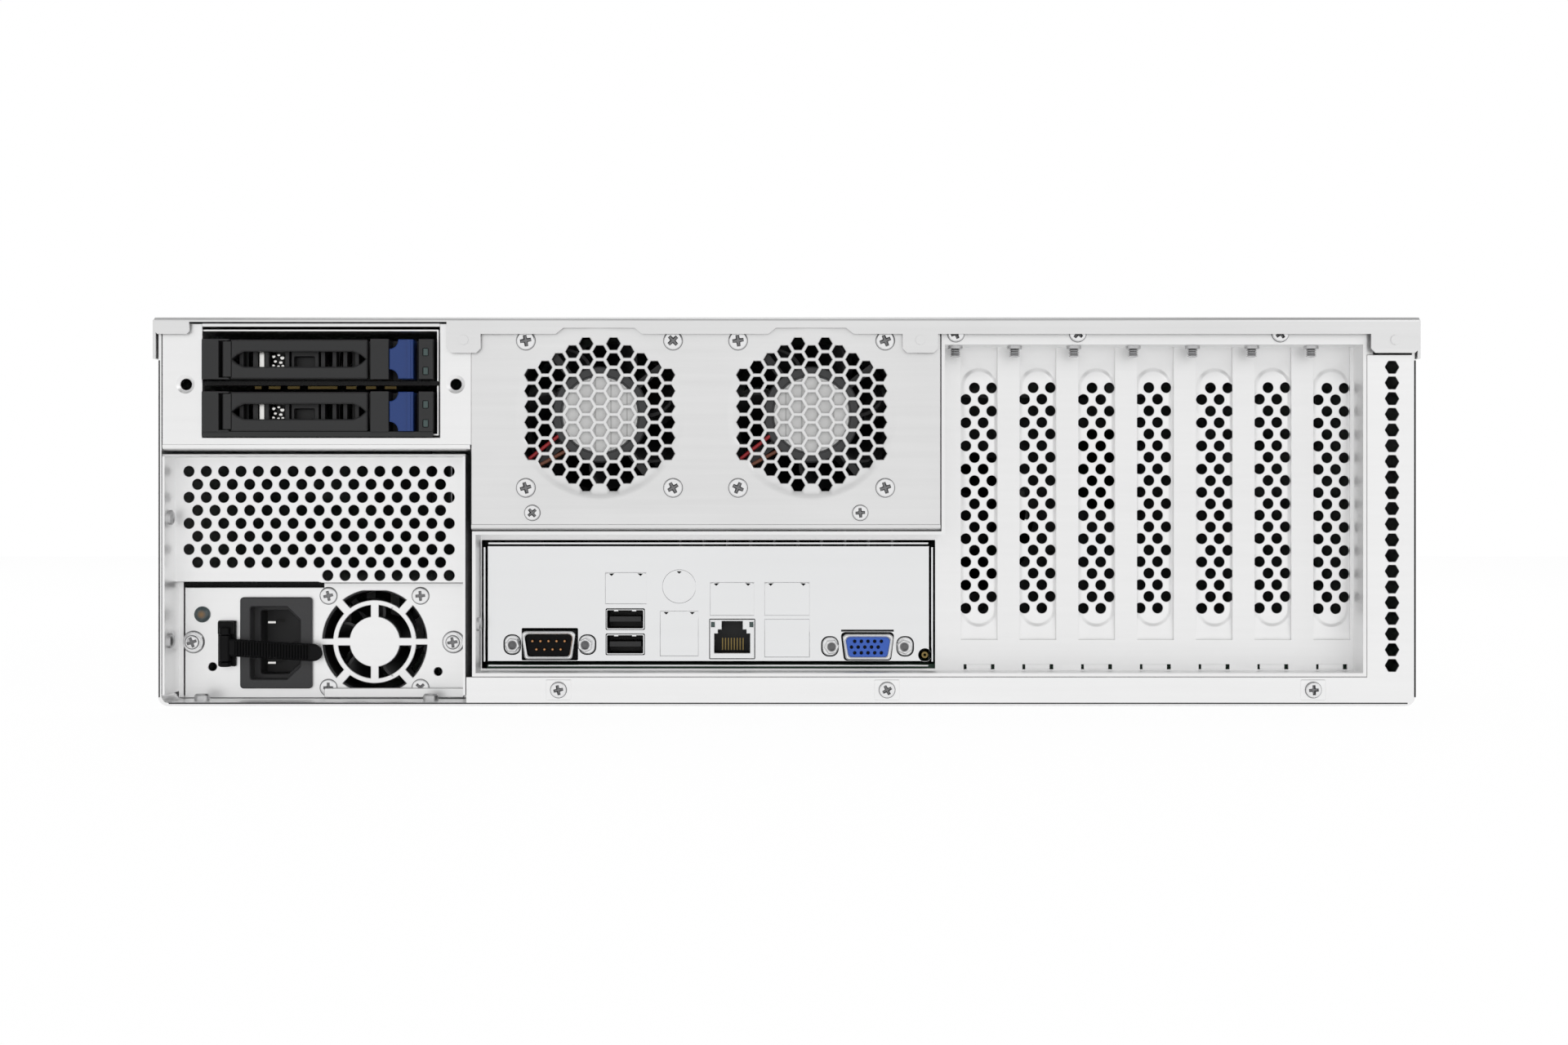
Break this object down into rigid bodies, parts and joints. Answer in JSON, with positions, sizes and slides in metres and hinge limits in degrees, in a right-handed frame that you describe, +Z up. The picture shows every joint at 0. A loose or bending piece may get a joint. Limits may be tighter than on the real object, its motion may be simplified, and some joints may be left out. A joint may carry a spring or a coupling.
{
  "type": "rackmount server case",
  "caption": "Rackmount server case with rear fans, power supply, port shield, vented slot covers, rear and front drive trays, sliding cover, rack ears and handles.",
  "frame": {"origin": "middle of the bottom face, on the surface that the case stands on", "axes": "+X to the right seen from the rear, +Y from the rear panel to the front, +Z up"},
  "size_m": [0.4826, 0.687, 0.132],
  "materials": {
    "zinc_steel": "zinc-coated sheet, satin",
    "bright_steel": "bright zinc fasteners and connector shells",
    "black_plastic": "fine moulded grain",
    "charcoal_plastic": "fine moulded grain",
    "blue_plastic": "satin moulded",
    "grey_plastic": "frosted lamp lens",
    "board": "solder mask",
    "cooler": "extruded, satin",
    "brass": "plated contacts",
    "lead_plastic": "insulated fan leads"
  },
  "bodies": {
    "case": {"backplanes": "board", "chassis_base": "zinc_steel", "connector_shells": "bright_steel", "control_panel": "charcoal_plastic", "cord_clip": "black_plastic", "cpu_cooler": "cooler", "drive_bay_plate": "zinc_steel", "exhaust_fan_frames": "black_plastic", "fan_leads": "lead_plastic", "fan_panel": "zinc_steel", "fan_wall": "zinc_steel", "front_cage": "zinc_steel", "front_fascia": "zinc_steel", "front_handles": "cooler", "inlet_pins": "bright_steel", "inlet_socket": "black_plastic", "io_shield": "zinc_steel", "jackscrews": "bright_steel", "lan_jack": "bright_steel", "memory_modules": "board", "mid_fan_frames": "black_plastic", "motherboard": "board", "panel_screws": "bright_steel", "rack_ears": "zinc_steel", "rear_drive_cage": "zinc_steel", "rear_frame": "zinc_steel", "serial_insert": "black_plastic", "slot_covers": "zinc_steel", "slot_screws": "bright_steel", "supply_bracket": "zinc_steel", "supply_fan_frame": "black_plastic", "supply_housing": "zinc_steel", "supply_lamp": "grey_plastic", "supply_screws": "bright_steel", "usb_ports": "bright_steel", "video_insert": "blue_plastic"},
    "cover": {"top_cover": "zinc_steel"},
    "exhaust_fan_left": {"exhaust_rotor_left": "black_plastic"},
    "exhaust_fan_right": {"exhaust_rotor_right": "black_plastic"},
    "supply_fan": {"supply_fan_rotor": "black_plastic"},
    "mid_fan_left": {"mid_rotor_left": "black_plastic"},
    "mid_fan_middle": {"mid_rotor_middle": "black_plastic"},
    "mid_fan_right": {"mid_rotor_right": "black_plastic"},
    "strap": {"cord_strap": "black_plastic"},
    "power_key": {"power_button": "charcoal_plastic"},
    "reset_key": {"reset_button": "charcoal_plastic"},
    "tray_upper": {"rear_tray_upper": "charcoal_plastic"},
    "lever_upper": {"rear_lever_upper": "charcoal_plastic"},
    "latch_upper": {"rear_latch_upper": "blue_plastic"},
    "tray_lower": {"rear_tray_lower": "charcoal_plastic"},
    "lever_lower": {"rear_lever_lower": "charcoal_plastic"},
    "latch_lower": {"rear_latch_lower": "blue_plastic"},
    "bay_1_lower": {"front_tray_1_lower": "charcoal_plastic"},
    "bay_1_upper": {"front_tray_1_upper": "charcoal_plastic"},
    "bay_2_lower": {"front_tray_2_lower": "charcoal_plastic"},
    "bay_2_upper": {"front_tray_2_upper": "charcoal_plastic"},
    "bay_3_lower": {"front_tray_3_lower": "charcoal_plastic"},
    "bay_3_upper": {"front_tray_3_upper": "charcoal_plastic"},
    "bay_4_lower": {"front_tray_4_lower": "charcoal_plastic"},
    "bay_4_upper": {"front_tray_4_upper": "charcoal_plastic"}
  },
  "joints": [
    {"name": "cover_slide", "type": "slide", "parent": "case", "child": "cover", "axis": [0, -1, 0], "range_m": [0, 0.015]},
    {"name": "exhaust_fan_left_spin", "type": "hinge", "parent": "case", "child": "exhaust_fan_left", "pos_m": [-0.0636, -0.312, 0.0992], "axis": [0, 1, 0], "continuous": true},
    {"name": "exhaust_fan_right_spin", "type": "hinge", "parent": "case", "child": "exhaust_fan_right", "pos_m": [0.0085, -0.312, 0.0992], "axis": [0, 1, 0], "continuous": true},
    {"name": "supply_fan_spin", "type": "hinge", "parent": "case", "child": "supply_fan", "pos_m": [-0.1434, -0.298, 0.0209], "axis": [0, 1, 0], "continuous": true},
    {"name": "mid_fan_left_spin", "type": "hinge", "parent": "case", "child": "mid_fan_left", "pos_m": [-0.09, 0.075, 0.062], "axis": [0, 1, 0], "continuous": true},
    {"name": "mid_fan_middle_spin", "type": "hinge", "parent": "case", "child": "mid_fan_middle", "pos_m": [0, 0.075, 0.062], "axis": [0, 1, 0], "continuous": true},
    {"name": "mid_fan_right_spin", "type": "hinge", "parent": "case", "child": "mid_fan_right", "pos_m": [0.09, 0.075, 0.062], "axis": [0, 1, 0], "continuous": true},
    {"name": "tray_upper_slide", "type": "slide", "parent": "case", "child": "tray_upper", "axis": [0, -1, 0], "range_m": [0, 0.11]},
    {"name": "lever_upper_swing", "type": "hinge", "parent": "tray_upper", "child": "lever_upper", "pos_m": [-0.1903, -0.3241, 0.11785], "axis": [0, 0, -1], "range_deg": [0, 80]},
    {"name": "latch_upper_push", "type": "slide", "parent": "tray_upper", "child": "latch_upper", "axis": [1, 0, 0], "range_m": [0, 0.0014], "stiffness_N_per_m": 300},
    {"name": "tray_lower_slide", "type": "slide", "parent": "case", "child": "tray_lower", "axis": [0, -1, 0], "range_m": [0, 0.11]},
    {"name": "lever_lower_swing", "type": "hinge", "parent": "tray_lower", "child": "lever_lower", "pos_m": [-0.1903, -0.3241, 0.10005], "axis": [0, 0, -1], "range_deg": [0, 80]},
    {"name": "latch_lower_push", "type": "slide", "parent": "tray_lower", "child": "latch_lower", "axis": [1, 0, 0], "range_m": [0, 0.0014], "stiffness_N_per_m": 300},
    {"name": "strap_swing", "type": "hinge", "parent": "case", "child": "strap", "pos_m": [-0.1946, -0.3096, 0.0187], "axis": [0, 0, -1], "range_deg": [0, 100]},
    {"name": "power_press", "type": "slide", "parent": "case", "child": "power_key", "axis": [0, -1, 0], "range_m": [0, 0.0015], "stiffness_N_per_m": 400},
    {"name": "reset_press", "type": "slide", "parent": "case", "child": "reset_key", "axis": [0, -1, 0], "range_m": [0, 0.0015], "stiffness_N_per_m": 400},
    {"name": "bay_1_lower_slide", "type": "slide", "parent": "case", "child": "bay_1_lower", "axis": [0, 1, 0], "range_m": [0, 0.15]},
    {"name": "bay_1_upper_slide", "type": "slide", "parent": "case", "child": "bay_1_upper", "axis": [0, 1, 0], "range_m": [0, 0.15]},
    {"name": "bay_2_lower_slide", "type": "slide", "parent": "case", "child": "bay_2_lower", "axis": [0, 1, 0], "range_m": [0, 0.15]},
    {"name": "bay_2_upper_slide", "type": "slide", "parent": "case", "child": "bay_2_upper", "axis": [0, 1, 0], "range_m": [0, 0.15]},
    {"name": "bay_3_lower_slide", "type": "slide", "parent": "case", "child": "bay_3_lower", "axis": [0, 1, 0], "range_m": [0, 0.15]},
    {"name": "bay_3_upper_slide", "type": "slide", "parent": "case", "child": "bay_3_upper", "axis": [0, 1, 0], "range_m": [0, 0.15]},
    {"name": "bay_4_lower_slide", "type": "slide", "parent": "case", "child": "bay_4_lower", "axis": [0, 1, 0], "range_m": [0, 0.15]},
    {"name": "bay_4_upper_slide", "type": "slide", "parent": "case", "child": "bay_4_upper", "axis": [0, 1, 0], "range_m": [0, 0.15]}
  ]
}
